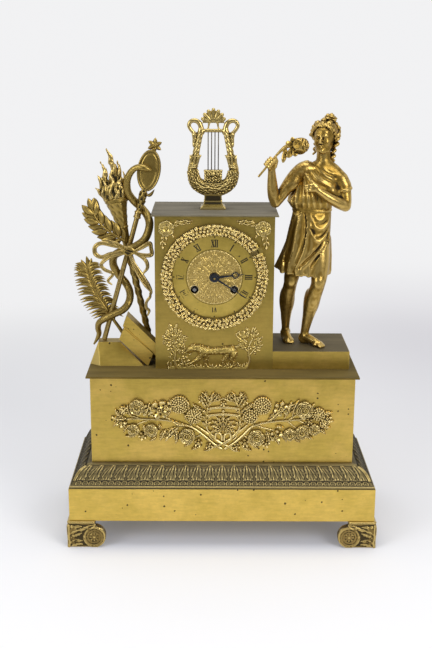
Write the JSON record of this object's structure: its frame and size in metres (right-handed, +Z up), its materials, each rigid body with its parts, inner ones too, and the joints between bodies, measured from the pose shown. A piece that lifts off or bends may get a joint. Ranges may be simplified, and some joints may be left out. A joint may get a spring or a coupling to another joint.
{
  "type": "pendulum clock",
  "caption": "Gilt bronze mantel clock: stepped case with a dial tower, standing figure with a rose, tall trophy and a lyre on top; round striking movement with a short pendulum inside",
  "frame": {"origin": "under the middle of the feet, on the shelf", "axes": "+X to the right seen from the front, +Y to the back, +Z up"},
  "size_m": [0.3138, 0.146, 0.4317],
  "materials": {
    "gilt": "worn matt gilding with small dark pits",
    "gilt_relief": "gilt relief, dark in the recesses and rubbed bright on the edges",
    "dulled_top": "dulled flat bronze",
    "brass": "satin",
    "bell_metal": "turned",
    "steel": "satin",
    "blued_steel": "blued"
  },
  "bodies": {
    "case": {"feet": "gilt", "plinth_case": "gilt", "leaf_moulding": "gilt_relief", "block_case": "gilt", "base_mount": "gilt_relief", "terrace_slab": "dulled_top", "tower_case": "gilt", "cap_plate": "dulled_top", "lyre": "gilt", "lyre_strings": "steel", "corner_mounts": "gilt_relief", "beast_mount": "gilt_relief", "dial_plate": "gilt", "dial_centre": "gilt_relief", "figure_pedestal": "gilt", "figure_body": "gilt", "figure_right_arm": "gilt", "rose_stem": "gilt_relief", "trophy_ground": "gilt_relief", "book": "gilt_relief", "torch": "gilt", "mirror_staff": "gilt", "serpent": "gilt_relief", "laurel_branch": "gilt_relief", "palm_branch": "gilt_relief", "ribbon_bow": "gilt_relief", "rear_bezel": "brass", "front_plate": "brass", "back_plate": "brass", "movement_straps": "brass", "suspension_cock": "brass", "bell": "bell_metal", "bell_stand": "steel"},
    "bezel": {"wreath_bezel": "gilt"},
    "rear_door": {"rear_door": "brass"},
    "minute": {"centre_wheel": "brass", "cannon_pinion": "steel", "minute_hand": "blued_steel"},
    "hour": {"hour_wheel": "brass", "hour_hand": "blued_steel"},
    "motion": {"minute_wheel": "brass"},
    "going_second": {"going_second_wheel": "brass"},
    "going_barrel": {"going_barrel": "brass"},
    "third": {"third_wheel": "brass"},
    "escape": {"escape_wheel": "brass"},
    "anchor": {"anchor": "steel"},
    "pendulum": {"pendulum": "brass"},
    "going_winder": {"going_arbor": "steel"},
    "going_click": {"going_click": "steel"},
    "pin": {"pin_wheel": "brass"},
    "strike_second": {"strike_second_wheel": "brass"},
    "strike_barrel": {"strike_barrel": "brass"},
    "warning": {"warning_wheel": "brass"},
    "fly": {"fly": "brass"},
    "count": {"count_wheel": "brass"},
    "hammer": {"hammer": "steel"},
    "strike_lever": {"strike_lever": "steel"},
    "strike_winder": {"strike_arbor": "steel"},
    "strike_click": {"strike_click": "steel"}
  },
  "joints": [
    {"name": "bezel_hinge", "type": "hinge", "parent": "case", "child": "bezel", "pos_m": [0.03528, -0.02895, 0.2979], "axis": [-0.5402, 0, 0.8415], "range_deg": [0, 100]},
    {"name": "rear_door_hinge", "type": "hinge", "parent": "case", "child": "rear_door", "pos_m": [0.04215, 0.06335, 0.2697], "axis": [0, 0, -1], "range_deg": [0, 110]},
    {"name": "minute_turn", "type": "hinge", "parent": "case", "child": "minute", "pos_m": [-0.00865, -0.00995, 0.2697], "axis": [0, 1, 0], "continuous": true},
    {"name": "hour_turn", "type": "hinge", "parent": "case", "child": "hour", "pos_m": [-0.00865, -0.01595, 0.2697], "axis": [0, 1, 0], "continuous": true},
    {"name": "minute_wheel_turn", "type": "hinge", "parent": "case", "child": "motion", "pos_m": [-0.00865, -0.01395, 0.2599], "axis": [0, 1, 0], "continuous": true},
    {"name": "going_second_turn", "type": "hinge", "parent": "case", "child": "going_second", "pos_m": [0.00335, -0.00995, 0.2769], "axis": [0, 1, 0], "continuous": true},
    {"name": "going_barrel_turn", "type": "hinge", "parent": "case", "child": "going_barrel", "pos_m": [0.011, -0.00995, 0.2571], "axis": [0, 1, 0], "continuous": true},
    {"name": "third_turn", "type": "hinge", "parent": "case", "child": "third", "pos_m": [-0.01165, -0.00995, 0.28255], "axis": [0, 1, 0], "continuous": true},
    {"name": "escape_turn", "type": "hinge", "parent": "case", "child": "escape", "pos_m": [-0.00865, -0.00995, 0.293], "axis": [0, 1, 0], "continuous": true},
    {"name": "pendulum_swing", "type": "hinge", "parent": "case", "child": "pendulum", "pos_m": [-0.00865, 0.03005, 0.30475], "axis": [0, 1, 0], "range_deg": [-4, 4]},
    {"name": "anchor_rock", "type": "hinge", "parent": "case", "child": "anchor", "pos_m": [-0.00865, -0.00995, 0.30475], "axis": [0, 1, 0], "range_deg": [-4, 4]},
    {"name": "going_winding", "type": "hinge", "parent": "case", "child": "going_winder", "pos_m": [0.011, -0.01195, 0.2571], "axis": [0, 1, 0], "continuous": true},
    {"name": "strike_winding", "type": "hinge", "parent": "case", "child": "strike_winder", "pos_m": [-0.0283, -0.01195, 0.2571], "axis": [0, 1, 0], "continuous": true},
    {"name": "pin_wheel_turn", "type": "hinge", "parent": "case", "child": "pin", "pos_m": [-0.02428, -0.00995, 0.28723], "axis": [0, 1, 0], "continuous": true},
    {"name": "strike_second_turn", "type": "hinge", "parent": "case", "child": "strike_second", "pos_m": [-0.03199, -0.00995, 0.27804], "axis": [0, 1, 0], "continuous": true},
    {"name": "strike_barrel_turn", "type": "hinge", "parent": "case", "child": "strike_barrel", "pos_m": [-0.0283, -0.00995, 0.2571], "axis": [0, 1, 0], "continuous": true},
    {"name": "warning_turn", "type": "hinge", "parent": "case", "child": "warning", "pos_m": [-0.02255, -0.00995, 0.297], "axis": [0, 1, 0], "continuous": true},
    {"name": "fly_turn", "type": "hinge", "parent": "case", "child": "fly", "pos_m": [-0.02875, -0.00995, 0.2992], "axis": [0, 1, 0], "continuous": true},
    {"name": "count_turn", "type": "hinge", "parent": "case", "child": "count", "pos_m": [-0.03565, 0.01905, 0.2679], "axis": [0, 1, 0], "continuous": true},
    {"name": "hammer_lift", "type": "hinge", "parent": "case", "child": "hammer", "pos_m": [-0.03865, -0.00995, 0.2937], "axis": [0, 1, 0], "range_deg": [0, 18], "stiffness_Nm_per_rad": 0.03, "springref_deg": -8.59},
    {"name": "strike_lever_lift", "type": "hinge", "parent": "case", "child": "strike_lever", "pos_m": [-0.02065, -0.01595, 0.2427], "axis": [0, 1, 0], "range_deg": [0, 6]},
    {"name": "going_click_lift", "type": "hinge", "parent": "case", "child": "going_click", "pos_m": [0.0202, -0.01195, 0.2603], "axis": [0, 1, 0], "range_deg": [0, 8], "stiffness_Nm_per_rad": 0.002, "springref_deg": -5.73},
    {"name": "strike_click_lift", "type": "hinge", "parent": "case", "child": "strike_click", "pos_m": [-0.0375, -0.01195, 0.2603], "axis": [0, -1, 0], "range_deg": [0, 8], "stiffness_Nm_per_rad": 0.002, "springref_deg": -5.73}
  ],
  "couplings": [
    {"joint": "hour_turn", "follows": "minute_turn", "ratio": 0.083333},
    {"joint": "minute_wheel_turn", "follows": "minute_turn", "ratio": -0.33333},
    {"joint": "going_second_turn", "follows": "minute_turn", "ratio": -0.11111},
    {"joint": "going_barrel_turn", "follows": "minute_turn", "ratio": 0.015873},
    {"joint": "third_turn", "follows": "minute_turn", "ratio": -10.5},
    {"joint": "escape_turn", "follows": "minute_turn", "ratio": 147},
    {"joint": "anchor_rock", "follows": "pendulum_swing", "ratio": 1},
    {"joint": "strike_second_turn", "follows": "pin_wheel_turn", "ratio": -0.11111},
    {"joint": "strike_barrel_turn", "follows": "pin_wheel_turn", "ratio": 0.015873},
    {"joint": "warning_turn", "follows": "pin_wheel_turn", "ratio": -10},
    {"joint": "fly_turn", "follows": "pin_wheel_turn", "ratio": 100},
    {"joint": "count_turn", "follows": "pin_wheel_turn", "ratio": 0.088889}
  ]
}
